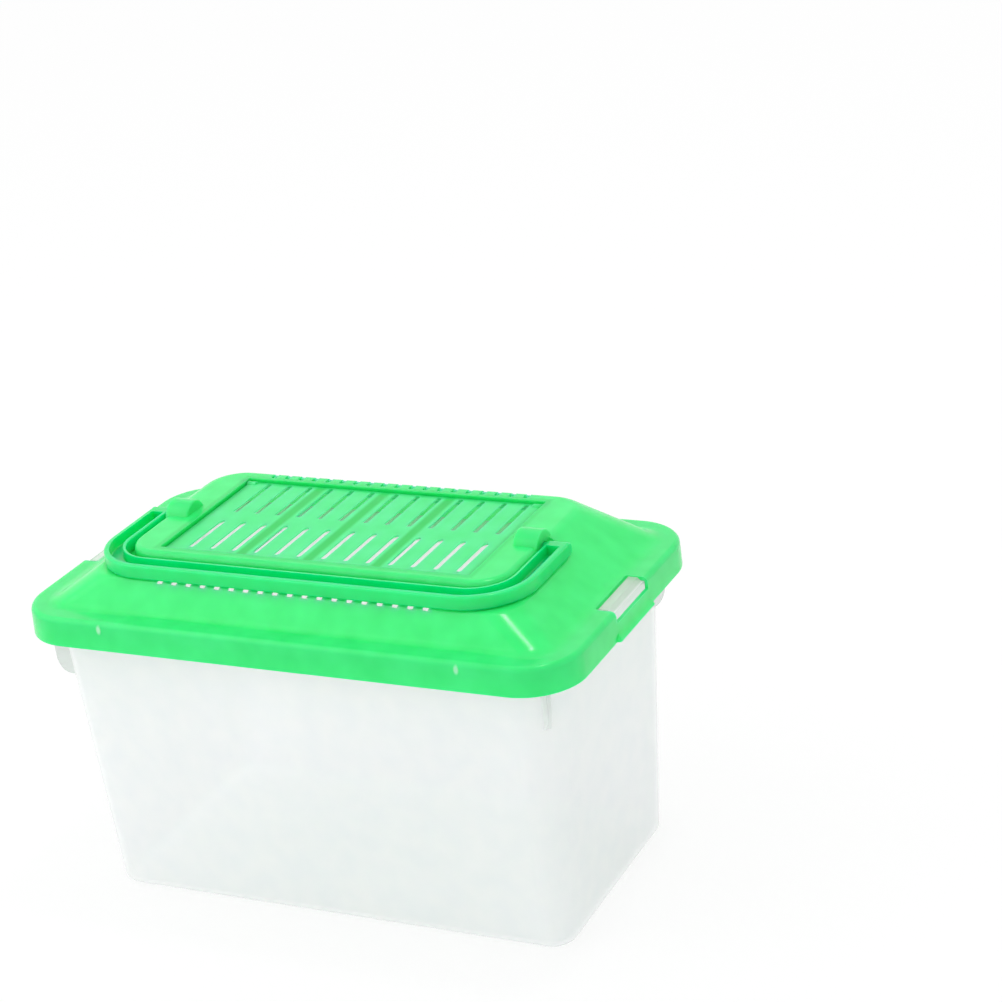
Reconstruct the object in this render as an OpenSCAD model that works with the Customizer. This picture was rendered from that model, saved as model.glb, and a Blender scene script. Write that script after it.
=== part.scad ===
// Plastic pet keeper: a tapered tub, a lift-off lid, a slotted feeding hatch and a swing handle.
// Millimetres. The origin is the middle of the tub's base, +X runs along the long side,
// +Y points to the back (the hatch's hinge side) and +Z points up.

/* [Tub] */
// Length of the tub's flat base along X
base_length = 197; // [160:1:250]
// Width of the tub's base along Y
base_width = 100.3; // [90:0.1:150]
// Height of the rim's top face, where the lid sits
tub_height = 123.4; // [90:0.2:180]
// How far each wall leans outwards from the base up to the rim
wall_lean = 7.8; // [4:0.2:12]
// Corner radius of the base in plan
base_corner_r = 9.5; // [6:0.5:14]
// Rounding between the base and the walls
base_edge_r = 4; // [2:0.5:5]
// Thickness of the tub's walls
tub_wall = 1.6; // [1.2:0.1:2.4]
// Thickness of the tub's floor
tub_floor = 2; // [1.4:0.1:3]
// Width of the rim flange that carries the lid
flange_width = 6.6; // [5:0.2:9]
// Thickness of the rim flange
flange_thick = 1.6; // [1.2:0.1:2]
// Corner radius of the rim flange in plan
flange_corner_r = 19.8; // [16:0.2:24]

/* [Tub lugs and gussets] */
// Length along Y of the raised lug on each short side
lug_length = 28.8; // [18:0.4:36]
// Width along X of the lug
lug_width = 5.8; // [4:0.2:6.4]
// Size of the bevel along the lug's outer top edge
lug_bevel = 1.8; // [0.6:0.2:2]
// How far the lower end of each corner gusset lies below the rim
gusset_drop = 29; // [16:1:50]
// How far each corner gusset stands out from the corner
gusset_reach = 4; // [2:0.5:6]
// Thickness of each gusset
gusset_thick = 1.5; // [1:0.1:2.5]
// Distance from the middle to each small stop on the long sides of the flange
stop_offset = 74.5; // [40:0.5:85]
// Width of each stop
stop_width = 1.4; // [1:0.1:3]
// Height of each stop
stop_height = 3.6; // [2:0.2:6]
// How far each stop stands out of the flange towards the lid's skirt
stop_reach = 0.3; // [0.1:0.05:0.4]

/* [Lid rim] */
// Thickness of the lid's walls
lid_wall = 1.6; // [1.2:0.1:2]
// Gap all round between the rim flange and the inside of the lid's skirt
fit_gap = 0.5; // [0.3:0.1:1]
// Height of the skirt that hangs over the tub's rim
skirt_height = 11.5; // [8:0.5:16]
// Rounding along the top edge of the skirt
skirt_edge_r = 1.5; // [0.8:0.1:1.6]
// How far the skirt leans in from its foot up to the shelf
skirt_lean = 0.3; // [0:0.1:0.5]
// Width of the flat shelf between the skirt and the raised deck
shelf_width = 10; // [9.2:0.2:14]
// Gap left round each lug in the lid's side windows
window_gap = 0.8; // [0.5:0.1:1.5]
// How far the windows reach down the skirt from the shelf
window_drop = 4.6; // [3.6:0.2:6]
// Length along Y of the thumb lip under each window
thumb_lip_length = 34; // [20:1:50]
// How far the thumb lip stands out from the skirt
thumb_lip_reach = 1.4; // [0.6:0.2:3]
// Height of the thumb lip
thumb_lip_height = 4.2; // [3:0.2:6]

/* [Lid deck] */
// Height of the deck above the shelf
deck_height = 17; // [13:0.5:24]
// Length of the deck's top along X
deck_length = 160; // [150:1:176]
// Width of the deck's top along Y
deck_width = 88.4; // [84:0.2:100]
// Corner radius of the deck's top
deck_corner_r = 13; // [10:0.5:20]
// Corner radius where the deck's slopes meet the shelf
foot_corner_r = 10; // [6:0.5:14]
// Depth of the ledge that the folded handle lies on, below the deck
ledge_depth = 5.8; // [4:0.1:6.5]
// Distance from the middle to the front wall of the deck, behind the ledge
deck_front = 36.8; // [35:0.2:38]
// Corner radius of the front wall of the deck
deck_front_r = 14; // [8:0.5:18]

/* [Vents] */
// Number of vent slots along the front and along the back edge
vent_count = 19; // [5:1:21]
// Distance between neighbouring vent slots
vent_pitch = 6.2; // [4:0.1:6.6]
// Width of one vent slot
vent_width = 2.3; // [1.5:0.1:3]
// How far the front vents run in from the ledge's edge
vent_inward = 6; // [3:0.5:8]
// How far the vents run out over the slope
vent_outward = 1; // [0.4:0.1:2]

/* [Handle] */
// Width of the handle's channel section
handle_width = 8.6; // [7:0.2:12]
// Height of the handle's channel section
handle_thick = 5.5; // [4.5:0.1:7]
// Gap between each handle arm and the deck's side wall
arm_gap = 1.4; // [0.6:0.1:3]
// Gap between the folded handle's front bar and the deck's front wall
finger_gap = 4.4; // [3:0.2:6]
// Outer corner radius of the handle
handle_corner_r = 24; // [16:0.5:28]
// Outer wall of the channel
handle_outer_wall = 2.2; // [1.4:0.1:2.6]
// Inner wall of the channel
handle_inner_wall = 1.3; // [1:0.1:2]
// Floor of the channel
handle_floor = 1.5; // [1.2:0.1:2]
// Solid stretch of each arm in front of its pivot
arm_root = 3.4; // [3:0.2:8]
// Gap under the folded handle
handle_rest_gap = 0.3; // [0.2:0.1:0.6]

/* [Handle pivots] */
// Distance from the middle back to the pivot axis
pivot_y = 3; // [-4:0.5:8]
// Outer radius of the half-round hump over each pivot
hump_r = 7.1; // [6:0.1:9]
// Length of each hump along X
hump_length = 10; // [8:0.5:12]
// Wall of the hump
hump_wall = 1.5; // [1.2:0.1:2]
// Wall that the pivot pin passes through
bearing_wall = 2; // [1.6:0.1:3]
// Radius of each pivot pin
pivot_pin_r = 2.2; // [1.5:0.1:2.6]
// Running clearance round the pivot pins
pivot_clearance = 0.06; // [0.03:0.01:0.1]
// How far each pivot pin reaches past the wall it turns in
pivot_pin_past = 2.4; // [1:0.2:3.5]
// Room left behind the arms, so that the handle can swing back
pocket_length = 4.4; // [4:0.2:8]

/* [Hatch] */
// Length of the hatch along X
hatch_length = 129.6; // [126:0.2:131]
// Width of the hatch along Y
hatch_width = 68; // [66:0.2:68.4]
// Distance from the deck's front wall to the front edge of the hatch's recess
hatch_margin = 5.9; // [3.4:0.1:6.4]
// Thickness of the hatch's plate
hatch_thick = 1.5; // [1.2:0.1:2]
// How far the hatch's top lies below the deck
hatch_sunk = 1.3; // [0.6:0.1:2]
// Gap round the hatch in its recess
hatch_gap = 0.5; // [0.3:0.1:0.8]
// Width of the ledge that the hatch rests on
hatch_ledge = 2.2; // [1.4:0.1:3]
// Width of one slot in the hatch
slot_width = 2; // [1.2:0.1:3]
// Distance between neighbouring slots
slot_pitch = 9.35; // [6:0.05:9.5]
// Extra distance between the two slots beside the middle rib
slot_middle_extra = 1.25; // [0:0.05:2]
// Sideways offset of the middle rib from the hatch's middle
slot_shift = -3; // [-4:0.2:4]
// Number of slots to the left of the middle rib
slots_left = 6; // [2:1:6]
// Number of slots to the right of the middle rib
slots_right = 7; // [2:1:7]
// Length of the front row of slots
front_slot_length = 25.2; // [12:0.2:26]
// Length of the back row of slots
back_slot_length = 28.4; // [12:0.2:28.6]
// Distance from the hatch's front edge to the front row
slot_margin = 4.3; // [3.4:0.1:4.5]
// Solid band between the two rows of slots
row_gap = 9; // [4:0.2:9.2]
// Width of the ribs under the hatch
hatch_rib_width = 2.4; // [1.2:0.1:3]
// Depth of the ribs under the hatch
hatch_rib_depth = 1.2; // [1:0.1:4]
// Radius of the hatch's hinge pins
hatch_pin_r = 1.2; // [0.8:0.05:1.3]
// Depth of the socket that each hinge pin turns in
hatch_pin_length = 2.8; // [2:0.1:3.4]
// Room left between a hinge pin's end and the end of its socket
hatch_pin_end_gap = 0.2; // [0.1:0.1:0.6]
// Running clearance round the hinge pins
hatch_clearance = 0.05; // [0.03:0.01:0.1]
// Distance from the hatch's back edge to its hinge axis
hinge_inset = 1.8; // [1.6:0.1:2.4]
// Length of the thicker knuckle beside each hinge pin
knuckle_length = 3.6; // [2:0.2:4]

/* [Hidden] */
tub_colour = "#E9EEEE";
lid_colour = "#4DEB78";
hatch_colour = "#5AE67C";
handle_colour = "#1FDD78";
round_fn = 96;
pin_fn = 48;
// A small overlap that joins solids and clears cuts
bite = 0.4;
// Thickness of the thin slices that a hull runs between
slice = 0.01;
// Share of a gusset's width that its rounded foot rises
gusset_rise = 1.4;
// How much a gusset's free edge leans out between its rounded foot and the flange
gusset_lean = 0.3;
// Height of the upright face at the thumb lip's foot
thumb_lip_face = 0.8;

// Tub sizes, worked out from the base
lean_rate = wall_lean / tub_height;
tub_half_x = base_length / 2;
tub_half_y = base_width / 2;
rim_half_x = tub_half_x + wall_lean + flange_width;
rim_half_y = tub_half_y + wall_lean + flange_width;

// Lid rim sizes, worked out from the tub's rim
lid_half_x = rim_half_x + fit_gap + lid_wall;
lid_half_y = rim_half_y + fit_gap + lid_wall;
lid_corner_r = flange_corner_r + fit_gap + lid_wall;
shelf_z = tub_height + lid_wall;
skirt_z = shelf_z - skirt_height;
foot_half_x = lid_half_x - shelf_width;
foot_half_y = lid_half_y - shelf_width;
deck_z = shelf_z + deck_height;
ledge_z = deck_z - ledge_depth;
deck_half_x = deck_length / 2;
deck_half_y = deck_width / 2;
window_z = shelf_z - window_drop;
window_x = rim_half_x - lug_width - window_gap;

// Where the deck's slopes cross the ledge
ledge_share = (ledge_z - shelf_z) / deck_height;
ledge_edge_y = foot_half_y - (foot_half_y - deck_half_y) * ledge_share;

// Handle sizes, worked out from the deck
arm_in_x = deck_half_x + arm_gap;
arm_out_x = arm_in_x + handle_width;
bar_in_y = deck_front + finger_gap;
bar_out_y = bar_in_y + handle_width;
handle_z = ledge_z + handle_rest_gap;
pivot_z = handle_z + handle_thick / 2;
pocket_y = pivot_y + pocket_length;
hump_in_x = deck_half_x - hump_length;

// Hatch sizes, worked out from the deck
recess_front = -deck_front + hatch_margin;
hatch_front = recess_front + hatch_gap;
hatch_back = hatch_front + hatch_width;
recess_back = hatch_back + hatch_gap;
hatch_left = -hatch_length / 2;
hatch_right = hatch_length / 2;
recess_left = hatch_left - hatch_gap;
recess_right = hatch_right + hatch_gap;
hatch_top = deck_z - hatch_sunk;
hatch_low = hatch_top - hatch_thick;
hinge_y = hatch_back - hinge_inset;
hinge_z = hatch_low + hatch_thick / 2;
knuckle_r = hatch_pin_r + 0.4;
slot_front_y = hatch_front + slot_margin;
slot_back_y = slot_front_y + front_slot_length + row_gap;

// Rectangle with rounded corners, from its half sizes, as exact arcs
module rounded_rect(half_x, half_y, r) {
    square([2 * half_x - 2 * r, 2 * half_y], center = true);
    square([2 * half_x, 2 * half_y - 2 * r], center = true);
    for (sx = [-1, 1], sy = [-1, 1])
        translate([sx * (half_x - r), sy * (half_y - r)])
            circle(r, $fn = round_fn);
}

// Block with rounded upright corners
module rounded_block(half_x, half_y, r, z0, z1) {
    translate([0, 0, z0])
        linear_extrude(z1 - z0)
            rounded_rect(half_x, half_y, r);
}

// Solid with a rounded rectangle as its plan, from one side's section. The section's inner end lies
// on the corners' centre lines: it is swept along each wall and turned round each corner.
module swept_form(core_x, core_y, side, z0, z1) {
    for (turn = [0, 90, 180, 270]) {
        across = turn % 180 == 0 ? core_x : core_y;
        along = turn % 180 == 0 ? core_y : core_x;
        rotate([0, 0, turn])
            translate([across, along, 0])
                rotate([90, 0, 0])
                    linear_extrude(2 * along)
                        polygon(side);
    }
    for (sx = [-1, 1], sy = [-1, 1])
        translate([sx * core_x, sy * core_y, 0])
            rotate_extrude($fn = round_fn)
                polygon(side);
    rounded_block(core_x + bite, core_y + bite, bite, z0, z1);
}

// Section of one tub wall: out along the floor, round the base edge and up the leaning wall
function lean_at(z) = lean_rate * z;
function tub_side(r, edge, z0, z1) = concat(
    [[0, z0]],
    [for (a = [0:15:90]) [
        r + lean_at(z0 + edge) - edge + edge * sin(a),
        z0 + edge - edge * cos(a)
    ]],
    [[r + lean_at(z1), z1], [0, z1]]
);

module tub_form(half_x, half_y, r, edge, z0, z1) {
    swept_form(half_x - r, half_y - r, tub_side(r, edge, z0, z1), z0, z1);
}

// Upright fin across one corner of the tub, under the flange
module gusset() {
    top = tub_height - flange_thick / 2;
    low = tub_height - gusset_drop;
    root = base_corner_r + lean_at(low) - tub_wall / 2;
    free = base_corner_r + lean_at(top) + gusset_reach;
    rotate([90, 0, 0])
        linear_extrude(gusset_thick, center = true)
            polygon(concat(
                [[root, top], [root, low]],
                [for (a = [0:15:90]) [
                    root + (free - root) * sin(a),
                    low + (free - root) * gusset_rise * (1 - cos(a))
                ]],
                [[free + gusset_lean, top]]
            ));
}

// Raised lug on the rim flange of one short side
module lug() {
    out_x = rim_half_x;
    in_x = rim_half_x - lug_width;
    translate([0, lug_length / 2, 0])
        rotate([90, 0, 0])
            linear_extrude(lug_length)
                polygon([
                    [in_x, tub_height - flange_thick / 2],
                    [out_x, tub_height - flange_thick / 2],
                    [out_x, shelf_z - lug_bevel],
                    [out_x - lug_bevel, shelf_z],
                    [in_x, shelf_z]
                ]);
}

// Small stop on the flange's long side, which keeps the lid's skirt centred
module stop() {
    depth = flange_thick + stop_reach;
    translate([
        stop_offset - stop_width / 2,
        rim_half_y + stop_reach - depth,
        tub_height - stop_height
    ])
        cube([stop_width, depth, stop_height]);
}

module tub() {
    color(tub_colour)
    difference() {
        union() {
            tub_form(tub_half_x, tub_half_y, base_corner_r, base_edge_r, 0, tub_height);
            rounded_block(
                rim_half_x, rim_half_y, flange_corner_r, tub_height - flange_thick, tub_height);
            for (sx = [-1, 1], sy = [-1, 1])
                translate([sx * (tub_half_x - base_corner_r), sy * (tub_half_y - base_corner_r), 0])
                    rotate([0, 0, atan2(sy, sx)])
                        gusset();
            for (turn = [0, 180])
                rotate([0, 0, turn])
                    lug();
            for (turn = [0, 180], side = [0, 1])
                rotate([0, 0, turn])
                    mirror([side, 0, 0])
                        stop();
        }
        tub_form(
            tub_half_x - tub_wall, tub_half_y - tub_wall, base_corner_r - tub_wall,
            base_edge_r - tub_wall, tub_floor, tub_height + bite);
    }
}

// Sloped form of the deck between the shelf and the deck's top, drawn in by an inset
module deck_form(inset, top) {
    share = inset / 2;
    hull() {
        translate([0, 0, shelf_z - lid_wall])
            linear_extrude(lid_wall - inset + slice)
                rounded_rect(foot_half_x - share, foot_half_y - share, foot_corner_r - share, $fn = 32);
        translate([0, 0, top - slice])
            linear_extrude(slice)
                rounded_rect(deck_half_x - share, deck_half_y - share, deck_corner_r - share, $fn = 32);
    }
}

// Plan of what stands above the ledge: the island between the handle's arms and all behind them
module high_plan(inset) {
    reach = lid_half_x;
    side = deck_half_x - inset;
    front = deck_front - inset;
    r = deck_front_r - inset;
    translate([-side, -front + r])
        square([2 * side, reach]);
    translate([-side + r, -front])
        square([2 * side - 2 * r, reach]);
    for (sx = [-1, 1])
        translate([sx * (side - r), -front + r])
            circle(r, $fn = round_fn);
    translate([-reach, pocket_y + inset])
        square([2 * reach, reach]);
}

// What is kept of the deck form: all of it below the ledge, and only the high plan above
module deck_keep(inset, ledge, top) {
    rounded_block(lid_half_x, lid_half_y, lid_corner_r, shelf_z - lid_wall - bite, ledge);
    translate([0, 0, ledge - bite])
        linear_extrude(top + bite - ledge + bite)
            high_plan(inset);
}

module deck_solid(inset, top, ledge) {
    intersection() {
        deck_form(inset, top);
        deck_keep(inset, ledge, top);
    }
}

// Section of the lid's rim: up the skirt, round its top edge and in along the shelf
rim_side = concat(
    [[0, skirt_z], [lid_corner_r, skirt_z]],
    [for (a = [0:15:90]) [
        lid_corner_r - skirt_lean - skirt_edge_r + skirt_edge_r * cos(a),
        shelf_z - skirt_edge_r + skirt_edge_r * sin(a)
    ]],
    [[0, shelf_z]]
);

module rim_form() {
    swept_form(lid_half_x - lid_corner_r, lid_half_y - lid_corner_r, rim_side, skirt_z, shelf_z);
}

// Half-round hump over one handle pivot, along +X
module hump() {
    translate([hump_in_x, pivot_y, pivot_z])
        rotate([0, 90, 0])
            cylinder(hump_length, r = hump_r, $fn = round_fn);
}

// Hollow inside the hump, open to the inside of the keeper
module hump_hollow() {
    length = hump_length - hump_wall - bearing_wall;
    inner_r = hump_r - hump_wall;
    translate([hump_in_x + hump_wall, pivot_y, pivot_z])
        rotate([0, 90, 0])
            cylinder(length, r = inner_r, $fn = round_fn);
    translate([hump_in_x + hump_wall, pivot_y - inner_r, ledge_z - lid_wall - bite])
        cube([length, 2 * inner_r, pivot_z - ledge_z + lid_wall + bite]);
}

// Bore for one pivot pin, through the deck's side wall
module pivot_bore() {
    translate([deck_half_x - bearing_wall - bite, pivot_y, pivot_z])
        rotate([0, 90, 0])
            cylinder(bearing_wall + 2 * bite, r = pivot_pin_r + pivot_clearance, $fn = pin_fn);
}

// Frame that hangs from the deck round the hatch's recess
module hatch_frame() {
    translate([recess_left - lid_wall, recess_front - lid_wall, hatch_low - lid_wall])
        cube([
            recess_right - recess_left + 2 * lid_wall,
            recess_back - recess_front + 2 * lid_wall,
            deck_z - hatch_low + lid_wall - bite / 2
        ]);
    for (x = [recess_left - hatch_pin_length - lid_wall, recess_right])
        translate([x, hinge_y - knuckle_r - lid_wall, hatch_low - lid_wall])
            cube([
                hatch_pin_length + lid_wall,
                2 * knuckle_r + 2 * lid_wall,
                deck_z - hatch_low + lid_wall - bite / 2
            ]);
}

// Recess for the hatch, and the opening under it that leaves a ledge on three sides
module hatch_recess() {
    translate([recess_left, recess_front, hatch_low])
        cube([recess_right - recess_left, recess_back - recess_front, deck_z]);
    translate([recess_left + hatch_ledge, recess_front + hatch_ledge, ledge_z - 4 * lid_wall])
        cube([
            recess_right - recess_left - 2 * hatch_ledge,
            recess_back - recess_front - hatch_ledge,
            deck_z
        ]);
    translate([recess_left, hinge_y - knuckle_r - hatch_gap, ledge_z - 4 * lid_wall])
        cube([recess_right - recess_left, recess_back - hinge_y + knuckle_r + hatch_gap, deck_z]);
    for (x = [recess_left - hatch_pin_length, recess_right - bite])
        translate([x, hinge_y, hinge_z])
            rotate([0, 90, 0])
                cylinder(
                    hatch_pin_length + bite, r = hatch_pin_r + hatch_clearance, $fn = pin_fn);
}

// Window over the tub's lug, through the shelf and down the skirt
module lug_window() {
    half_y = lug_length / 2 + window_gap;
    translate([window_x, -half_y, window_z])
        cube([lid_half_x, 2 * half_y, skirt_height]);
}

// Thumb lip at the foot of the skirt, under one window
module thumb_lip() {
    in_x = lid_half_x - lid_wall;
    translate([0, thumb_lip_length / 2, 0])
        rotate([90, 0, 0])
            linear_extrude(thumb_lip_length)
                polygon([
                    [in_x, skirt_z],
                    [lid_half_x + thumb_lip_reach, skirt_z],
                    [lid_half_x + thumb_lip_reach, skirt_z + thumb_lip_face],
                    [lid_half_x - bite / 2, skirt_z + thumb_lip_height],
                    [in_x, skirt_z + thumb_lip_height]
                ]);
}

// Row of vent slots along X, between two distances from the middle
module vent_row(y0, y1) {
    r = vent_width / 2;
    for (k = [0:vent_count - 1])
        translate([(k - (vent_count - 1) / 2) * vent_pitch, 0, shelf_z + lid_wall]) {
            translate([-r, y0 + r, 0])
                cube([vent_width, y1 - y0 - vent_width, deck_height]);
            for (y = [y0 + r, y1 - r])
                translate([0, y, 0])
                    cylinder(deck_height, r = r, $fn = 24);
        }
}

module lid() {
    vent_y = ledge_edge_y + vent_outward;
    color(lid_colour)
    difference() {
        union() {
            difference() {
                union() {
                    rim_form();
                    deck_solid(0, deck_z, ledge_z);
                    for (turn = [0, 1])
                        mirror([turn, 0, 0])
                            hump();
                    for (turn = [0, 180])
                        rotate([0, 0, turn])
                            thumb_lip();
                }
                rounded_block(
                    rim_half_x + fit_gap, rim_half_y + fit_gap, flange_corner_r + fit_gap,
                    skirt_z - bite, shelf_z - lid_wall);
                deck_solid(lid_wall, deck_z - lid_wall, ledge_z - lid_wall);
            }
            hatch_frame();
        }
        hatch_recess();
        for (turn = [0, 1])
            mirror([turn, 0, 0]) {
                hump_hollow();
                pivot_bore();
            }
        for (turn = [0, 180])
            rotate([0, 0, turn])
                lug_window();
        vent_row(-vent_y, -ledge_edge_y + vent_inward);
        vent_row(recess_back + lid_wall + bite, deck_half_y + 2 * vent_outward);
    }
}

// Places of the slots along X, on both sides of the middle rib
slot_half_middle = (slot_pitch + slot_middle_extra) / 2;
slot_places = concat(
    [for (k = [0:slots_left - 1]) slot_shift - slot_half_middle - k * slot_pitch],
    [for (k = [0:slots_right - 1]) slot_shift + slot_half_middle + k * slot_pitch]
);

// How far each hinge pin reaches into its socket
pin_reach = hatch_pin_length - hatch_pin_end_gap;

// The ribs lie three slots apart, between the ledge in front and the hinge behind
rib_pitch = 3 * slot_pitch + slot_middle_extra / 2;
rib_front_y = recess_front + hatch_ledge + hatch_gap;
rib_back_y = hinge_y - knuckle_r - hatch_gap;

// One slot with round ends, from its front end along +Y
module slot(length) {
    r = slot_width / 2;
    low = hatch_low - hatch_rib_depth;
    translate([-r, r, low])
        cube([slot_width, length - slot_width, deck_z - low]);
    for (y = [r, length - r])
        translate([0, y, low])
            cylinder(deck_z - low, r = r, $fn = 24);
}

module hatch() {
    color(hatch_colour)
    difference() {
        union() {
            translate([hatch_left, hatch_front, hatch_low])
                cube([hatch_length, hatch_width, hatch_thick]);
            for (x = [hatch_left, hatch_right - knuckle_length])
                translate([x, hinge_y, hinge_z])
                    rotate([0, 90, 0])
                        cylinder(knuckle_length, r = knuckle_r, $fn = pin_fn);
            for (k = [-1:1])
                translate([
                    slot_shift + k * rib_pitch - hatch_rib_width / 2,
                    rib_front_y,
                    hatch_low - hatch_rib_depth
                ])
                    cube([hatch_rib_width, rib_back_y - rib_front_y, hatch_rib_depth + bite]);
            for (x = [recess_left - pin_reach, hatch_right - knuckle_length])
                translate([x, hinge_y, hinge_z])
                    rotate([0, 90, 0])
                        cylinder(
                            pin_reach + hatch_gap + knuckle_length, r = hatch_pin_r, $fn = pin_fn);
        }
        for (x = slot_places) {
            translate([x, slot_front_y, 0])
                slot(front_slot_length);
            translate([x, slot_back_y, 0])
                slot(back_slot_length);
        }
    }
}

// Plan of the handle: a U with rounded front corners, drawn in from both sides
module handle_plan(from_out, from_in, back) {
    out_x = arm_out_x - from_out;
    out_y = bar_out_y - from_out;
    out_r = handle_corner_r - from_out;
    in_x = arm_in_x + from_in;
    in_y = bar_in_y + from_in;
    in_r = handle_corner_r - handle_width + from_in;
    difference() {
        union() {
            translate([-out_x, -out_y + out_r])
                square([2 * out_x, back + out_y - out_r]);
            translate([-out_x + out_r, -out_y])
                square([2 * out_x - 2 * out_r, back + out_y]);
            for (sx = [-1, 1])
                translate([sx * (out_x - out_r), -out_y + out_r])
                    circle(out_r, $fn = round_fn);
        }
        translate([-in_x, -in_y + in_r])
            square([2 * in_x, back + in_y]);
        translate([-in_x + in_r, -in_y])
            square([2 * in_x - 2 * in_r, back + in_y]);
        for (sx = [-1, 1])
            translate([sx * (in_x - in_r), -in_y + in_r])
                circle(in_r, $fn = round_fn);
    }
}

module handle() {
    color(handle_colour) {
        difference() {
            union() {
                translate([0, 0, handle_z])
                    linear_extrude(handle_thick)
                        handle_plan(0, 0, pivot_y);
                for (sx = [-1, 1])
                    translate([sx * (arm_in_x + handle_width / 2), pivot_y, pivot_z])
                        rotate([0, 90, 0])
                            cylinder(handle_width, r = handle_thick / 2, center = true, $fn = pin_fn);
            }
            translate([0, 0, handle_z + handle_floor])
                linear_extrude(handle_thick)
                    handle_plan(handle_outer_wall, handle_inner_wall, pivot_y - arm_root);
        }
        for (turn = [0, 1])
            mirror([turn, 0, 0])
                translate([deck_half_x - bearing_wall - pivot_pin_past, pivot_y, pivot_z])
                    rotate([0, 90, 0])
                        cylinder(
                            bearing_wall + pivot_pin_past + arm_gap + bite,
                            r = pivot_pin_r, $fn = pin_fn);
    }
}

tub();
lid();
hatch();
handle();
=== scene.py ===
"""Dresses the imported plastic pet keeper: camera, light and floor, then a section for each moulding.

The frame is the CAD model's: the origin is the middle of the tub's base, +X runs along the long
side, +Y to the hatch's hinge and +Z up. Sizes are in millimetres until a piece is finished.
"""

import math

import bmesh
import bpy
from mathutils import Matrix, Vector


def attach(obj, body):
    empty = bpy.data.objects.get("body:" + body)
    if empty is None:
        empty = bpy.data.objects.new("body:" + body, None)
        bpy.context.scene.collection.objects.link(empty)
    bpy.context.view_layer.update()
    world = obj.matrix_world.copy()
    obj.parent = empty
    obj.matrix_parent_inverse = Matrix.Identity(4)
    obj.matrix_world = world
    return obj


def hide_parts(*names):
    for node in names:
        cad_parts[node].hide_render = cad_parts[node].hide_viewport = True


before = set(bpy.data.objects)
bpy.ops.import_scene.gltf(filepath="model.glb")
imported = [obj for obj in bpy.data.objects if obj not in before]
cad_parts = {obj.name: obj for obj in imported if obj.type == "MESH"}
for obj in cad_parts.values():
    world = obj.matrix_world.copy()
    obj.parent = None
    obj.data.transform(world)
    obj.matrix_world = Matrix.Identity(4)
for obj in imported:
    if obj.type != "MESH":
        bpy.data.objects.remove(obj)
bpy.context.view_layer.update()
scene = bpy.context.scene
scene.view_settings.view_transform = "Standard"

# ---------------------------------------------------------------- camera
# The photograph's view: a long lens, from the front right and a little above, with the
# camera rolled so that the keeper's front edge runs down to the right.
AZIMUTH, ELEVATION, ROLL = (math.radians(angle) for angle in (26.94, 22.16, -6.29))
CAMERA_AWAY, CAMERA_RIGHT, CAMERA_UP = 1.03662, 0.04344, 0.14077

away = Vector((math.sin(AZIMUTH) * math.cos(ELEVATION), -math.cos(AZIMUTH) * math.cos(ELEVATION),
               math.sin(ELEVATION)))
level = Vector((math.cos(AZIMUTH), math.sin(AZIMUTH), 0))
raised = away.cross(level)
right = level * math.cos(ROLL) + raised * math.sin(ROLL)
up = raised * math.cos(ROLL) - level * math.sin(ROLL)
camera = bpy.data.objects.new("camera", bpy.data.cameras.new("camera"))
scene.collection.objects.link(camera)
camera.matrix_world = Matrix.Translation(
    away * CAMERA_AWAY + right * CAMERA_RIGHT + up * CAMERA_UP) @ Matrix(
    (right, up, away)).transposed().to_4x4()
camera.data.sensor_width, camera.data.lens = 36, 92.87
camera.data.clip_start, camera.data.clip_end = 0.05, 20
scene.camera = camera


# ---------------------------------------------------------------- light and floor
# A white sweep of paper in a soft studio: the room itself gives most of the light, a large panel
# on the left models the forms, and a small one overhead draws the shine along the hip at the lid's
# front right corner.
def add(tree, kind, settings=None, links=None):
    """A node with its settings and links. A number as key is an input's place in the node."""
    node = tree.nodes.new(kind)
    for key, value in (settings or {}).items():
        if isinstance(key, int) or key in node.inputs:
            node.inputs[key].default_value = value
        else:
            setattr(node, key, value)
    for key, socket in (links or {}).items():
        tree.links.new(socket, node.inputs[key])
    return node


def hexa(code):
    """An sRGB hex colour as linear values."""
    parts = (int(code[i:i + 2], 16) / 255 for i in (1, 3, 5))
    return (*(c / 12.92 if c <= 0.04045 else ((c + 0.055) / 1.055) ** 2.4 for c in parts), 1.0)


def blank(owner):
    """The emptied node tree of a material or world."""
    owner.use_nodes = True
    owner.node_tree.nodes.clear()
    return owner.node_tree


def backdrop_rays(tree):
    """1 for a ray that shows the background, straight or in a shine, and 0 for one that lights."""
    path = add(tree, "ShaderNodeLightPath")
    return add(tree, "ShaderNodeMath", {"operation": "MAXIMUM"}, {
        0: path.outputs["Is Camera Ray"], 1: path.outputs["Is Glossy Ray"]}).outputs[0]


# The room's light falls off towards the right, as the photograph's shaded side shows.
TO_THE_RIGHT, LEFT_LIGHT, RIGHT_LIGHT = (0.94, 0.34, 0.0), 1.11, 0.82
scene.world = bpy.data.worlds.new("studio")
tree = blank(scene.world)
where = add(tree, "ShaderNodeTexCoord")
across = add(tree, "ShaderNodeVectorMath", {"operation": "DOT_PRODUCT", 1: TO_THE_RIGHT},
             {0: where.outputs["Generated"]})
fall = add(tree, "ShaderNodeMapRange", {1: -0.3, 2: 0.8, 3: LEFT_LIGHT, 4: RIGHT_LIGHT},
           {0: across.outputs["Value"]})
room = add(tree, "ShaderNodeBackground", {"Color": hexa("#FFFFFF")}, {"Strength": fall.outputs[0]})
white = add(tree, "ShaderNodeBackground", {"Color": hexa("#FFFFFF"), "Strength": 1.0})
both = add(tree, "ShaderNodeMixShader", links={
    0: backdrop_rays(tree), 1: room.outputs[0], 2: white.outputs[0]})
add(tree, "ShaderNodeOutputWorld", links={0: both.outputs[0]})

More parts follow.
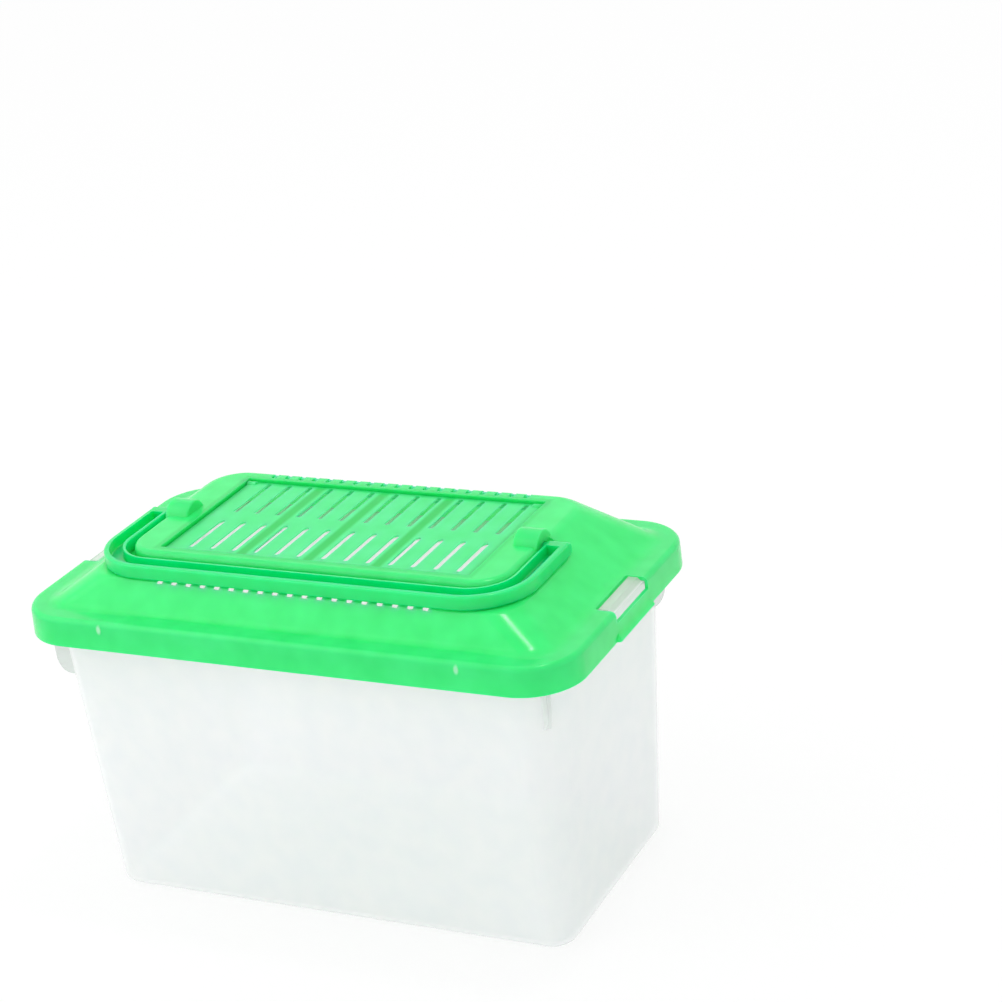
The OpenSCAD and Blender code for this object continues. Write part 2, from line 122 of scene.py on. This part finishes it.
for name, place, aim, size, watts in (
        ("left_panel", (-0.8, -0.5, 0.85), (0, 0, 0.1), 1.0, 3.2),
        ("overhead_panel", (0.235, 0.095, 1.35), (0, 0, 0.14), 0.13, 2.0)):
    lamp = bpy.data.lights.new(name, "AREA")
    lamp.shape, lamp.size, lamp.energy = "SQUARE", size, watts
    holder = bpy.data.objects.new(name, lamp)
    scene.collection.objects.link(holder)
    holder.location = place
    holder.rotation_mode = "QUATERNION"
    holder.rotation_quaternion = (Vector(aim) - Vector(place)).to_track_quat("-Z", "Y")

# White paper: matt, and shown almost as white as the background, so that a soft shadow is left.
PAPER_GLOW, PAPER_LOW = 0.85, 0.0002
paper = bpy.data.materials.new("white_paper")
tree = blank(paper)
share = add(tree, "ShaderNodeMath", {"operation": "MULTIPLY", 1: PAPER_GLOW},
            {0: backdrop_rays(tree)})
matt = add(tree, "ShaderNodeBsdfDiffuse", {"Color": hexa("#F4F4F4")})
glow = add(tree, "ShaderNodeEmission", {"Color": hexa("#FFFFFF"), "Strength": 1.0})
both = add(tree, "ShaderNodeMixShader", links={
    0: share.outputs[0], 1: matt.outputs[0], 2: glow.outputs[0]})
add(tree, "ShaderNodeOutputMaterial", links={0: both.outputs[0]})
floor_mesh = bpy.data.meshes.new("floor")
floor_mesh.from_pydata([(-4, -4, 0), (4, -4, 0), (4, 8, 0), (-4, 8, 0)], [], [(0, 1, 2, 3)])
floor_mesh.materials.append(paper)
floor = bpy.data.objects.new("floor", floor_mesh)
scene.collection.objects.link(floor)
floor.location.z = -PAPER_LOW

# ---------------------------------------------------------------- tub
# One injection moulding in clear polypropylene, slightly frosted, so that it reads almost white.
# A rim flange carries the lid, a lug stands up on each short side, and a gusset stiffens each
# corner under the flange. Four small stops on the long sides hold the lid's skirt off the rim.
BASE_X, BASE_Y, BASE_CORNER = 98.5, 50.15, 9.5  # half length, half width and corner radius
RIM_X, RIM_Y, RIM_CORNER = 112.9, 64.55, 19.8
RIM_TOP, FLANGE = 123.4, 1.6
TUB_WALL, TUB_FLOOR, FOOT = 1.6, 2.0, 4.0
LEAN = 7.8 / RIM_TOP  # how far the wall leans out for each millimetre up
GUSSET_HEIGHT, GUSSET_REACH, GUSSET_HALF = 29, 4, 0.75
LUG_X, LUG_TOP, LUG_HALF, LUG_BEVEL = 107.1, 125.0, 14.4, 1.8
STOP_X, STOP_Y, STOP_LOW = 74.5, 63.45, 119.8
OVER_RIM = 126  # where the cutter for the tub's inside ends, clear of the lugs


def ring(half_x, half_y, corner, z, middle=(0, 0), steps=16):
    """A level line with rounded corners, anticlockwise seen from above."""
    points = []
    for quarter, (sx, sy) in enumerate(((1, 1), (-1, 1), (-1, -1), (1, -1))):
        for step in range(steps + 1):
            turn = math.radians(90 * (quarter + step / steps))
            points.append((middle[0] + sx * (half_x - corner) + corner * math.cos(turn),
                           middle[1] + sy * (half_y - corner) + corner * math.sin(turn), z))
    return points


def loft(rings):
    """A closed skin through lines that have the same number of points."""
    count = len(rings[0])
    faces = [tuple(reversed(range(count)))]
    for low in range(0, count * (len(rings) - 1), count):
        for i in range(count):
            j = (i + 1) % count
            faces.append((low + i, low + j, low + count + j, low + count + i))
    faces.append(tuple(range(count * (len(rings) - 1), count * len(rings))))
    return [point for line in rings for point in line], faces


def block(half_x, half_y, corner, low, high, radius, middle=(0, 0), steps=8):
    """An upright block with its lowest and highest edges rounded."""
    turns = [math.radians(22.5 * step) for step in range(5)]
    sides = [(radius * (1 - math.sin(t)), low + radius * (1 - math.cos(t))) for t in turns]
    sides += [(radius * (1 - math.cos(t)), high - radius * (1 - math.sin(t))) for t in turns]
    return loft([ring(half_x - draw, half_y - draw, corner - draw, z, middle, steps)
                 for draw, z in sides])


def prism(outline, low, high, place):
    """An outline drawn through from low to high, set in the model by place(u, v, along)."""
    return loft([[place(u, v, along) for u, v in outline] for along in (low, high)])


def moulding(name, *skins):
    """One object from closed skins that don't touch each other."""
    points, faces = [], []
    for more_points, more_faces in skins:
        faces += [tuple(i + len(points) for i in face) for face in more_faces]
        points += more_points
    mesh = bpy.data.meshes.new(name)
    mesh.from_pydata(points, [], faces)
    outward = bmesh.new()
    outward.from_mesh(mesh)
    bmesh.ops.recalc_face_normals(outward, faces=outward.faces)
    outward.to_mesh(mesh)
    outward.free()
    piece = bpy.data.objects.new(name, mesh)
    scene.collection.objects.link(piece)
    return piece


def shaped(piece, how, *skins):
    """Joins skins or one object to the piece (UNION), cuts them away or keeps what is common."""
    other = moulding("other", *skins) if isinstance(skins[0], tuple) else skins[0]
    step = piece.modifiers.new("shape", "BOOLEAN")
    step.operation, step.solver, step.object = how, "MANIFOLD", other
    result = piece.evaluated_get(bpy.context.evaluated_depsgraph_get())
    made = bpy.data.meshes.new_from_object(result)
    made.materials.clear()
    piece.modifiers.clear()
    piece.data = made
    bpy.data.objects.remove(other)


CRISP = 32  # degrees: an edge that turns by more than this is shaded as an edge


def finished(piece, node, slot, *finishes):
    """Brings the piece to metres, shades its bends smooth and puts it in its node's place."""
    piece.data.transform(Matrix.Scale(0.001, 4))
    piece.data.shade_smooth()
    piece.data.set_sharp_from_angle(angle=math.radians(CRISP))
    even = piece.modifiers.new("even faces", "WEIGHTED_NORMAL")
    even.keep_sharp, even.weight = True, 80
    for finish in finishes:
        piece.data.materials.append(finish)
    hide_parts(node)
    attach(piece, node)


PATCH, WAVE, WAVE_DEPTH = 9, 7, 0.2  # mm
POLYPROPYLENE_IOR = 1.49
SPREAD, SPREAD_BY_COLOUR = 10, (0.35, 1.0, 0.6)  # mm that light runs inside, and its shares


def polypropylene(name, pale, deep, rough, clear=0.0, milky=0.0, shine=0.5, painted_light_and_shade=None):
    """Moulded polypropylene. Two close shades drift into each other in patches, as the melt cooled,
    and the face is a little wavy where the wall shrank off the mould."""
    made = bpy.data.materials.new(name)
    tree = blank(made)
    place = add(tree, "ShaderNodeTexCoord").outputs["Object"]
    patches = add(tree, "ShaderNodeTexNoise",
                  {"Scale": 1000 / PATCH, "Detail": 1.0, "Roughness": 0.4}, {"Vector": place})
    share = add(tree, "ShaderNodeMapRange", {1: 0.25, 2: 0.75, 3: 0.0, 4: 1.0},
                {0: patches.outputs[0]})
    shade = add(tree, "ShaderNodeMix", {"data_type": "RGBA", 6: hexa(deep), 7: hexa(pale)},
                {0: share.outputs[0]}).outputs[2]
    # A piece's painted light and shade, where it has any, are mixed into its colour here.
    if painted_light_and_shade:
        shade = painted_light_and_shade(tree, place, shade)
    waves = add(tree, "ShaderNodeTexNoise", {"Scale": 1000 / WAVE, "Detail": 0.0},
                {"Vector": place})
    bump = add(tree, "ShaderNodeBump", {"Strength": 0.1, "Distance": WAVE_DEPTH / 1000},
               {"Height": waves.outputs[0]})
    gloss = add(tree, "ShaderNodeMapRange", {1: 0.3, 2: 0.7, 3: rough - 0.02, 4: rough + 0.03},
                {0: patches.outputs[0]})
    shader = add(tree, "ShaderNodeBsdfPrincipled", {
        "IOR": POLYPROPYLENE_IOR, "Alpha": 1 - clear, "Specular IOR Level": shine,
        "Subsurface Weight": milky, "Subsurface Radius": SPREAD_BY_COLOUR,
        "Subsurface Scale": SPREAD / 1000},
        {"Base Color": shade, "Roughness": gloss.outputs[0], "Normal": bump.outputs[0]})
    add(tree, "ShaderNodeOutputMaterial", links={0: shader.outputs[0]})
    return made


def tinted(tree, shade, share, colour):
    """The shade mixed with a colour by a share that changes over the face."""
    return add(tree, "ShaderNodeMix", {"data_type": "RGBA", 7: hexa(colour)},
               {0: share, 6: shade}).outputs[2]


def lug_painted_green_light(tree, place, shade):
    """Painted green light on the lug above the rim: it stands in the lid's window and takes up its
    light.
    """
    axes = add(tree, "ShaderNodeSeparateXYZ", links={0: place})
    above = add(tree, "ShaderNodeMapRange",
                {1: (RIM_TOP - 0.2) / 1000, 2: (RIM_TOP + 0.4) / 1000, 3: 0.0, 4: 1.0},
                {0: axes.outputs[2]})
    return tinted(tree, shade, above.outputs[0], "#BCD4BE")


def tub_wall(inset, floor, edge, top):
    """The leaning wall with its rounded foot, drawn in by an inset."""
    sides = []
    for step in range(7):
        turn = math.radians(15 * step)
        sides.append((LEAN * (floor + edge) - inset - edge + edge * math.sin(turn),
                      floor + edge - edge * math.cos(turn)))
    sides += [(LEAN * z - inset, z) for z in (40, 80, top)]
    return loft([ring(BASE_X + grow, BASE_Y + grow, BASE_CORNER + grow, z) for grow, z in sides])


def gusset(sx, sy):
    """An upright fin across one corner, under the flange, with a rounded foot."""
    top, low = RIM_TOP - FLANGE / 2, RIM_TOP - GUSSET_HEIGHT
    root = BASE_CORNER + LEAN * low - TUB_WALL / 2
    free = BASE_CORNER + LEAN * top + GUSSET_REACH
    outline = [(root, top), (root, low)]
    for step in range(1, 9):
        turn = math.radians(11.25 * step)
        outline.append((root + (free - root) * math.sin(turn),
                        low + (free - root) * 1.4 * (1 - math.cos(turn))))
    outline.append((free + 0.3, top))
    slant = math.sqrt(0.5)
    return prism(outline, -GUSSET_HALF, GUSSET_HALF, lambda u, v, w: (
        sx * (BASE_X - BASE_CORNER + slant * (u - w)),
        sy * (BASE_Y - BASE_CORNER + slant * (u + w)), v))


def lug(side):
    """The raised lug that shows in the lid's side window, bevelled on its outer edge."""
    low, soft = RIM_TOP - FLANGE / 2, 0.4
    outline = [(LUG_X, low), (RIM_X, low), (RIM_X, LUG_TOP - LUG_BEVEL),
               (RIM_X - LUG_BEVEL, LUG_TOP), (LUG_X + soft, LUG_TOP), (LUG_X, LUG_TOP - soft)]
    return prism(outline, -LUG_HALF, LUG_HALF, lambda u, v, w: (side * u, w, v))


tub = moulding("tub_clear", tub_wall(0, 0, FOOT, RIM_TOP - FLANGE / 2))
shaped(tub, "UNION", block(RIM_X, RIM_Y, RIM_CORNER, RIM_TOP - FLANGE, RIM_TOP, 0.4, steps=16))
shaped(tub, "UNION", *(gusset(sx, sy) for sx in (-1, 1) for sy in (-1, 1)))
shaped(tub, "UNION", lug(-1), lug(1))
shaped(tub, "UNION", *(block(0.7, 1.4, 0.3, STOP_LOW, RIM_TOP - 0.1, 0.2, (x, y))
                       for x in (-STOP_X, STOP_X) for y in (-STOP_Y, STOP_Y)))
shaped(tub, "DIFFERENCE", tub_wall(TUB_WALL, TUB_FLOOR, FOOT - TUB_WALL, OVER_RIM))

# A lug or gusset is thick enough to look greyer than the thin wall. It is told from the rim and the
# wall by its height and by how far out it stands.
for face in tub.data.polygons:
    x, y, z = (abs(v) for v in face.center)
    out = Vector((max(x - BASE_X + BASE_CORNER, 0), max(y - BASE_Y + BASE_CORNER, 0))).length
    if z > RIM_TOP + 0.05 or z < RIM_TOP - FLANGE - 0.1 and out > BASE_CORNER + LEAN * z + 0.1:
        face.material_index = 1
# Clear polypropylene, moulded and slightly frosted: milky white with a soft shine, and only just
# clear, so that a hand behind it would show as a pale shade.
# The thick finish carries painted green light on the lugs above the rim.
finished(tub, "tub", "clear_plastic",
         polypropylene("moulded_clear_polypropylene", "#FEFEFF", "#F8FAFE", 0.35, clear=0.74,
                       shine=0.3),
         polypropylene("moulded_clear_polypropylene_thick", "#EDF0EF", "#E5E9E8", 0.31, clear=0.5,
                       shine=0.3, painted_light_and_shade=lug_painted_green_light))

# ---------------------------------------------------------------- lid
# One injection moulding in translucent green polypropylene. Its skirt hangs over the tub's rim with
# a thumb lip on each short side. The raised deck has vents front and back, a ledge for the folded
# handle, two half-round humps for the handle's pivots and a framed recess for the hatch.
LID_X, LID_Y, LID_CORNER, LID_WALL = 115.0, 66.65, 21.9, 1.6
SKIRT_LOW, SKIRT_BEND, SHELF, LEDGE, DECK = 113.5, 2.2, 125.0, 136.2, 142.0
# Half the length and half the width of the deck's slopes, at their foot and at their top.
FOOT_X, FOOT_Y, TOP_X, TOP_Y = 105.0, 56.65, 80.0, 44.2
ISLAND_Y, ISLAND_MIDDLE, ISLAND_CORNER, BEHIND_ARMS = 33.4, -3.4, 14, 7.4
PIVOT_Y, PIVOT_Z, PIVOT_BORE = 3.0, 139.25, 2.26
HUMP, HUMP_ROOM = 7.1, 5.6
HATCH_Y, HINGE_Y, HINGE_Z, HINGE_BORE = 3.6, 35.8, 139.95, 1.25
RECESS_X, RECESS_Y, RECESS_FLOOR, FRAME_LOW = 65.3, 34.5, 139.2, 137.6
# Where a vent starts and ends along Y and half its width, and the vents' middles along X.
FRONT_VENT, BACK_VENT = (-49.1, -42.45, 1.25), (39.9, 44.9, 1.0)
VENTS = [6.2 * k for k in range(-9, 10)]
VENT_LOW = 126.6
# Where the pale patch of painted light for each stop sits on the skirt.
STOP_MARK_Y, STOP_MARK_Z = 66.4, 122.2
# Two levels and a distance clear of the lid's plates, where what cuts them begins and ends.
BELOW, ABOVE, BEYOND = 120, 150, 120


def curve(start, corner, end, steps=6):
    """A soft bend from start to end that leans on a corner."""
    return [tuple((1 - t) ** 2 * a + 2 * t * (1 - t) * b + t * t * c
                  for a, b, c in zip(start, corner, end))
            for t in (k / steps for k in range(steps + 1))]


def slope(top, foot, crown, inset=0.0, drop=0.0):
    """The deck's sloped wall up to a level: a hollow bend at its foot, a round one at its top."""
    def at(z, out=0.0):
        share = (z - SHELF) / (DECK - SHELF)
        return (FOOT_X + (TOP_X - FOOT_X) * share + 1.75 * out,
                FOOT_Y + (TOP_Y - FOOT_Y) * share + 1.25 * out, 10 + 3 * share + 1.4 * out, z)
    sides = curve(at(SHELF, foot), at(SHELF), at(SHELF + foot))
    sides += curve(at(top - crown), at(top), at(top, -crown))
    return [ring(x - inset, y - inset, r - inset, z - drop) for x, y, r, z in sides]


def island(inset, top, radius, flare):
    """What stands above the ledge between the handle's arms, with its top edge rounded."""
    sides = [(flare, LEDGE - 3), *curve((flare, LEDGE), (0, LEDGE), (0, LEDGE + flare))]
    sides += [(-radius * (1 - math.cos(t)), top - radius * (1 - math.sin(t)))
              for t in (math.radians(15 * step) for step in range(7))]
    return loft([ring(TOP_X - inset + out, ISLAND_Y - inset + out, ISLAND_CORNER - inset + out, z,
                      (0, ISLAND_MIDDLE)) for out, z in sides])


def turned(stations, y, z, steps=48):
    """A round form along X through (x, radius) pairs."""
    return loft([[(x, y + r * math.cos(a), z + r * math.sin(a))
                  for a in (math.tau * k / steps for k in range(steps))] for x, r in stations])


def box(x0, x1, y0, y1, z0, z1, corner=0.01):
    """A plain block, upright, with rounded corners."""
    return loft([ring(abs(x1 - x0) / 2, (y1 - y0) / 2, corner, z, ((x0 + x1) / 2, (y0 + y1) / 2), 3)
                 for z in (z0, z1)])


def skirt():
    """The lid's rim: up the skirt, round its top edge and in along the shelf."""
    sides = [(-0.4, SKIRT_LOW), (-0.12, SKIRT_LOW + 0.12), (0, SKIRT_LOW + 0.4)]
    sides += [(-0.3 - SKIRT_BEND * (1 - math.cos(t)), SHELF - SKIRT_BEND * (1 - math.sin(t)))
              for t in (math.radians(11.25 * step) for step in range(9))]
    return [ring(LID_X + out, LID_Y + out, LID_CORNER + out, z) for out, z in sides]


def thumb_lip(side):
    """The lip at the foot of the skirt that a thumb lifts."""
    sides = ((2.6, 0.4, 0), (3, 0, 0.2), (3, 0, 0.7), (1.2, 0.9, 4), (-0.4, 1.6, 4.7))
    return loft([ring(3.4 + out, 17 - draw, 1.2, SKIRT_LOW + rise, (side * 110, 0), 6)
                 for out, draw, rise in sides])


def slit(x, y0, y1, half, low, top, wall, lip=0.2, ends=0.0):
    """A cutter for a slot with round ends: soft at the face, and wider under the wall."""
    sides = ((1.3, ends, low), (1.3, ends, top - wall), (0, 0, top - 0.35), (0, 0, top - lip),
             (lip, lip, top), (lip, lip, top + 8))
    return loft([
        ring(half + wide, (y1 - y0) / 2 + long, half - 0.01 + long, z, (x, (y0 + y1) / 2), 6)
        for wide, long, z in sides])


def hump(side):
    """The half-round hump over one handle pivot, with soft ends."""
    return turned([(side * x, r) for x, r in (
        (70, 6.3), (70.1, 6.7), (70.4, 7.0), (70.8, HUMP), (79.4, HUMP), (79.75, 7.02),
        (79.93, 6.85), (80, 6.6))], PIVOT_Y, PIVOT_Z)


def hump_hollow(side):
    """The room inside a hump."""
    outline = [(PIVOT_Y + HUMP_ROOM * math.cos(a), PIVOT_Z + HUMP_ROOM * math.sin(a))
               for a in (math.pi * k / 24 for k in range(25))]
    outline += [(PIVOT_Y - HUMP_ROOM, 134), (PIVOT_Y + HUMP_ROOM, 134)]
    return prism(outline, 71.5, 78, lambda u, v, w: (side * w, u, v))


def deck(island_skin, behind, slope_rings):
    """The deck's high part: within the slopes, over the island and all of the back."""
    high = moulding("high", island_skin)
    shaped(high, "UNION", behind)
    part = moulding("deck", loft(slope_rings))
    shaped(part, "INTERSECT", high)
    return part


# The high part starts above the bend at the slopes' foot, so it goes without their first six lines.
lid = moulding("lid_green", loft(skirt() + slope(LEDGE, 2.0, 0.9)))
shaped(lid, "UNION", deck(
    island(0, DECK, 2.6, 0.9), box(-BEYOND, BEYOND, BEHIND_ARMS, 80, SHELF, ABOVE),
    slope(DECK, 0.5, 1.2, inset=0.02)[6:]))
shaped(lid, "UNION", hump(-1), hump(1))
shaped(lid, "UNION", thumb_lip(-1), thumb_lip(1))

# The rim's and the deck's insides are hollowed out to the wall's thickness.
shaped(lid, "DIFFERENCE", block(LID_X - LID_WALL, LID_Y - LID_WALL, LID_CORNER - LID_WALL,
                                110, RIM_TOP, 0.4, steps=16))
shaped(lid, "DIFFERENCE", loft(
    [ring(FOOT_X - 0.8, FOOT_Y - 0.8, 9.2, 121),
     *slope(LEDGE, 0.3, 0.4, inset=0.8, drop=LID_WALL)]))
shaped(lid, "DIFFERENCE", deck(
    island(LID_WALL, ABOVE, 0.2, 0.01),
    box(-BEYOND, BEYOND, BEHIND_ARMS + LID_WALL, 80, BELOW, ABOVE),
    slope(DECK, 0.3, 0.4, inset=0.8, drop=LID_WALL)[6:]))

# The hatch's frame and sockets, its recess, the opening in it and the bores for its pins.
shaped(lid, "UNION", box(-66.9, 66.9, -32.5, 39.7, FRAME_LOW, 141.8, 1.2))
shaped(lid, "UNION", *(box(side * 65.1, side * 69.9, 32.6, 39.0, FRAME_LOW, 141.7, 0.6)
                       for side in (-1, 1)))
shaped(lid, "DIFFERENCE", loft([
    ring(RECESS_X + out, RECESS_Y + out, 0.6 + out, z, (0, HATCH_Y), 6)
    for out, z in ((0, RECESS_FLOOR), (0, DECK - 0.3), (0.3, DECK), (0.3, ABOVE))]))
shaped(lid, "DIFFERENCE", box(-63.1, 63.1, -28.7, 38.1, BELOW, ABOVE, 0.8))
shaped(lid, "DIFFERENCE", box(-RECESS_X, RECESS_X, 33.7, 38.1, BELOW, ABOVE, 0.5))
shaped(lid, "DIFFERENCE", *(
    turned([(side * 60, HINGE_BORE), (side * 68.1, HINGE_BORE)], HINGE_Y, HINGE_Z, 24)
    for side in (-1, 1)))

# The humps' rooms and the bores for the handle's pins, the side windows and the vents.
shaped(lid, "DIFFERENCE", hump_hollow(-1), hump_hollow(1))
shaped(lid, "DIFFERENCE", *(
    turned([(side * 77, PIVOT_BORE), (side * 79.7, PIVOT_BORE), (side * 80, 2.5), (side * 81, 2.5)],
           PIVOT_Y, PIVOT_Z) for side in (-1, 1)))
shaped(lid, "DIFFERENCE", *(box(side * 106.3, side * BEYOND, -15.2, 15.2, 120.4, 130, 0.8)
                            for side in (-1, 1)))
shaped(lid, "DIFFERENCE", *(slit(x, *FRONT_VENT, VENT_LOW, LEDGE, LID_WALL) for x in VENTS))
shaped(lid, "DIFFERENCE", *(slit(x, *BACK_VENT, VENT_LOW, DECK, LID_WALL) for x in VENTS))


def folded(tree, place, middle):
    """The place measured from a middle point, the same on both sides of it along X and Y."""
    moved = add(tree, "ShaderNodeVectorMath", {"operation": "SUBTRACT", 1: middle}, {0: place})
    return add(tree, "ShaderNodeVectorMath", {"operation": "ABSOLUTE"},
               {0: moved.outputs[0]}).outputs[0]


def painted_frame_shade(tree, place, shade):
    """Painted shade, a soft deeper band round the hatch where its edge lies on the recess's ledge and
    frame.
    """
    off = add(tree, "ShaderNodeVectorMath",
              {"operation": "SUBTRACT", 1: (RECESS_X / 1000, RECESS_Y / 1000, 0)},
              {0: folded(tree, place, (0, HATCH_Y / 1000, 0))})
    axes = add(tree, "ShaderNodeSeparateXYZ", links={0: off.outputs[0]})
    out = add(tree, "ShaderNodeMath", {"operation": "MAXIMUM"},
              {0: axes.outputs[0], 1: axes.outputs[1]})
    near = add(tree, "ShaderNodeMath", {"operation": "ABSOLUTE"}, {0: out.outputs[0]})
    band = add(tree, "ShaderNodeMapRange",
               {"interpolation_type": "SMOOTHSTEP", 1: 0.0012, 2: 0.0032, 3: 0.7, 4: 0.0},
               {0: near.outputs[0]})
    return tinted(tree, shade, band.outputs[0], "#10C85C")


def lid_painted_shade_and_light(tree, place, shade):
    """The frame's painted shade, and a pale patch of painted light where each of the tub's stops
    shows through the skirt.
    """
    away = add(tree, "ShaderNodeVectorMath",
               {"operation": "SUBTRACT", 1: (STOP_X / 1000, STOP_MARK_Y / 1000, 0)},
               {0: folded(tree, place, (0, 0, STOP_MARK_Z / 1000))})
    tall = add(tree, "ShaderNodeVectorMath", {"operation": "MULTIPLY", 1: (1.0, 0.3, 0.55)},
               {0: away.outputs[0]})
    size = add(tree, "ShaderNodeVectorMath", {"operation": "LENGTH"}, {0: tall.outputs[0]})
    painted_patch = add(tree, "ShaderNodeMapRange",
               {"interpolation_type": "SMOOTHSTEP", 1: 0.0004, 2: 0.0013, 3: 0.75, 4: 0.0},
               {0: size.outputs["Value"]})
    return tinted(tree, painted_frame_shade(tree, place, shade), painted_patch.outputs[0], "#B0FFC0")


# Green polypropylene, moulded and left natural: bright, a little milky, so that light spreads
# inside it and thin edges glow, with a soft oily shine.
# Its colour carries painted shade in the band round the hatch and painted light where the stops show
# through.
finished(lid, "lid", "green_plastic",
         polypropylene("moulded_green_polypropylene", "#38E878", "#2EDD6E", 0.2, milky=0.7,
                       shine=0.33, painted_light_and_shade=lid_painted_shade_and_light))

# ---------------------------------------------------------------- hatch
# A slotted plate in the same green, moulded in one with three ribs under it and two hinge pins. It
# lies a little below the deck, on the ledge in its recess, and snaps into the frame's sockets.
HATCH_X, HATCH_HALF, HATCH_LOW, HATCH_HIGH = 64.8, 34, 139.2, 140.7
RIB_MIDDLE, RIB_STEP, RIB_HALF, RIB_LOW = -3.0, 28.68, 1.2, 138
HINGE_PIN = 1.2
SLOTS = [-8.3 - 9.35 * k for k in range(6)] + [2.3 + 9.35 * k for k in range(7)]
SLOT_HALF, SLOT_LOW = 1, 134
# Where a row's slots start and end along Y, and how much further they run under the plate.
FRONT_ROW, BACK_ROW = (-26.1, -0.9, 2.6), (8.1, 36.5, 0)

hatch = moulding("hatch_green", block(HATCH_X, HATCH_HALF, 0.6, HATCH_LOW, HATCH_HIGH, 0.3,
                                      (0, HATCH_Y)))
shaped(hatch, "UNION", *(
    box(x - RIB_HALF, x + RIB_HALF, -28.2, 33.7, RIB_LOW, HATCH_LOW + 0.4, 0.3)
    for x in (RIB_MIDDLE - RIB_STEP, RIB_MIDDLE, RIB_MIDDLE + RIB_STEP)))
shaped(hatch, "UNION", *(
    turned([(side * 61.2, 1.6), (side * HATCH_X, 1.6)], HINGE_Y, HINGE_Z, 32) for side in (-1, 1)))
shaped(hatch, "UNION", *(
    turned([(side * 61, HINGE_PIN), (side * 67.7, HINGE_PIN), (side * 67.9, HINGE_PIN - 0.2)],
           HINGE_Y, HINGE_Z, 32) for side in (-1, 1)))
shaped(hatch, "DIFFERENCE", *(
    slit(x, y0, y1, SLOT_HALF, SLOT_LOW, HATCH_HIGH, HATCH_HIGH - HATCH_LOW, 0.12, ends)
    for x in SLOTS for y0, y1, ends in (FRONT_ROW, BACK_ROW)))


def hatch_painted_shade(tree, place, shade):
    """Painted shade: the frame's band, and a deeper band over each of the three ribs, where they show
    through the plate.
    """
    axes = add(tree, "ShaderNodeSeparateXYZ", links={0: place})
    moved = add(tree, "ShaderNodeMath", {"operation": "SUBTRACT", 1: RIB_MIDDLE / 1000},
                {0: axes.outputs[0]})
    near = add(tree, "ShaderNodeMath",
               {"operation": "WRAP", 1: -RIB_STEP / 2000, 2: RIB_STEP / 2000},
               {0: moved.outputs[0]})
    off = add(tree, "ShaderNodeMath", {"operation": "ABSOLUTE"}, {0: near.outputs[0]})
    band = add(tree, "ShaderNodeMapRange",
               {"interpolation_type": "SMOOTHSTEP", 1: 0.001, 2: 0.003, 3: 1.0, 4: 0.0},
               {0: off.outputs[0]})
    far = add(tree, "ShaderNodeMath", {"operation": "ABSOLUTE"}, {0: moved.outputs[0]})
    inner = add(tree, "ShaderNodeMath", {"operation": "LESS_THAN", 1: 0.04}, {0: far.outputs[0]})
    both = add(tree, "ShaderNodeMath", {"operation": "MULTIPLY"},
               {0: band.outputs[0], 1: inner.outputs[0]})
    return painted_frame_shade(tree, place, tinted(tree, shade, both.outputs[0], "#00BA4E"))


# The same green polypropylene, but painted paler, for the sheen on the thin plate and the light that
# reaches it from below.
finished(hatch, "hatch", "green_plastic",
         polypropylene("green_polypropylene_painted_paler", "#48DC84", "#34D674", 0.32, milky=0.7,
                       shine=0.3, painted_light_and_shade=hatch_painted_shade))

# ---------------------------------------------------------------- handle
# A U-shaped channel in a deeper green, injection moulded and folded flat on the lid's ledge. Its
# two pivot pins are moulded in one with it and turn in the lid's side walls.
ARM_X, ARM_FRONT, BEND = 66.0, -25.8, 24.0  # the middle of the U's bend, and its outer radius
ARM_WIDE, ARM_LOW, ARM_HIGH = 8.6, 136.5, 142.0
CHANNEL_LOW, CHANNEL_END, OVER_ARMS = 138.0, -0.4, 145
BOSS, PIVOT_PIN = 2.75, 2.2


def round_the_u(section, arm_end):
    """A section of (inwards, height) pairs drawn along one arm, the front bar and the other arm."""
    stations = [(ARM_X, arm_end, 0)]
    stations += [(ARM_X, ARM_FRONT, -90 * k / 24) for k in range(25)]
    stations += [(-ARM_X, ARM_FRONT, -90 - 90 * k / 24) for k in range(25)]
    stations.append((-ARM_X, arm_end, -180))
    return loft([[(x + (BEND - w) * math.cos(math.radians(turn)),
                   y + (BEND - w) * math.sin(math.radians(turn)), z) for w, z in section]
                 for x, y, turn in stations])


def rounded(corners, steps=4):
    """An outline whose corners (u, v, radius) are rounded off."""
    points = []
    for k, (u, v, radius) in enumerate(corners):
        arms = []
        for other in (corners[k - 1], corners[(k + 1) % len(corners)]):
            du, dv = other[0] - u, other[1] - v
            reach = radius / math.hypot(du, dv)
            arms.append((u + du * reach, v + dv * reach))
        points += curve(arms[0], (u, v), arms[1], steps)
    return points


handle = moulding("handle_green", round_the_u(rounded([
    (0, ARM_LOW, 0.8), (ARM_WIDE, ARM_LOW, 0.8), (ARM_WIDE, ARM_HIGH, 0.6), (0, ARM_HIGH, 1.0)]),
    PIVOT_Y))
shaped(handle, "UNION", *(turned([(side * x, r) for x, r in (
    (81.4, 2.2), (81.5, 2.45), (81.7, 2.65), (82.1, BOSS), (89.3, BOSS), (89.7, 2.65), (89.9, 2.45),
    (90, 2.2))], PIVOT_Y, PIVOT_Z) for side in (-1, 1)))
shaped(handle, "DIFFERENCE", round_the_u(rounded([
    (2.2, CHANNEL_LOW, 0.6), (7.3, CHANNEL_LOW, 0.6),
    (7.5, OVER_ARMS, 0.1), (2.0, OVER_ARMS, 0.1)]), CHANNEL_END))
shaped(handle, "UNION", *(
    turned([(side * 75.6, PIVOT_PIN - 0.3), (side * 75.9, PIVOT_PIN), (side * 81.8, PIVOT_PIN)],
           PIVOT_Y, PIVOT_Z) for side in (-1, 1)))
# The lid's green polypropylene, painted deeper and bluer than the lid for the shade that the
# channel's double walls give, with the same soft shine.
finished(handle, "handle", "deep_green_plastic",
         polypropylene("green_polypropylene_painted_deeper", "#04D676", "#02CC6C", 0.23, milky=0.7))
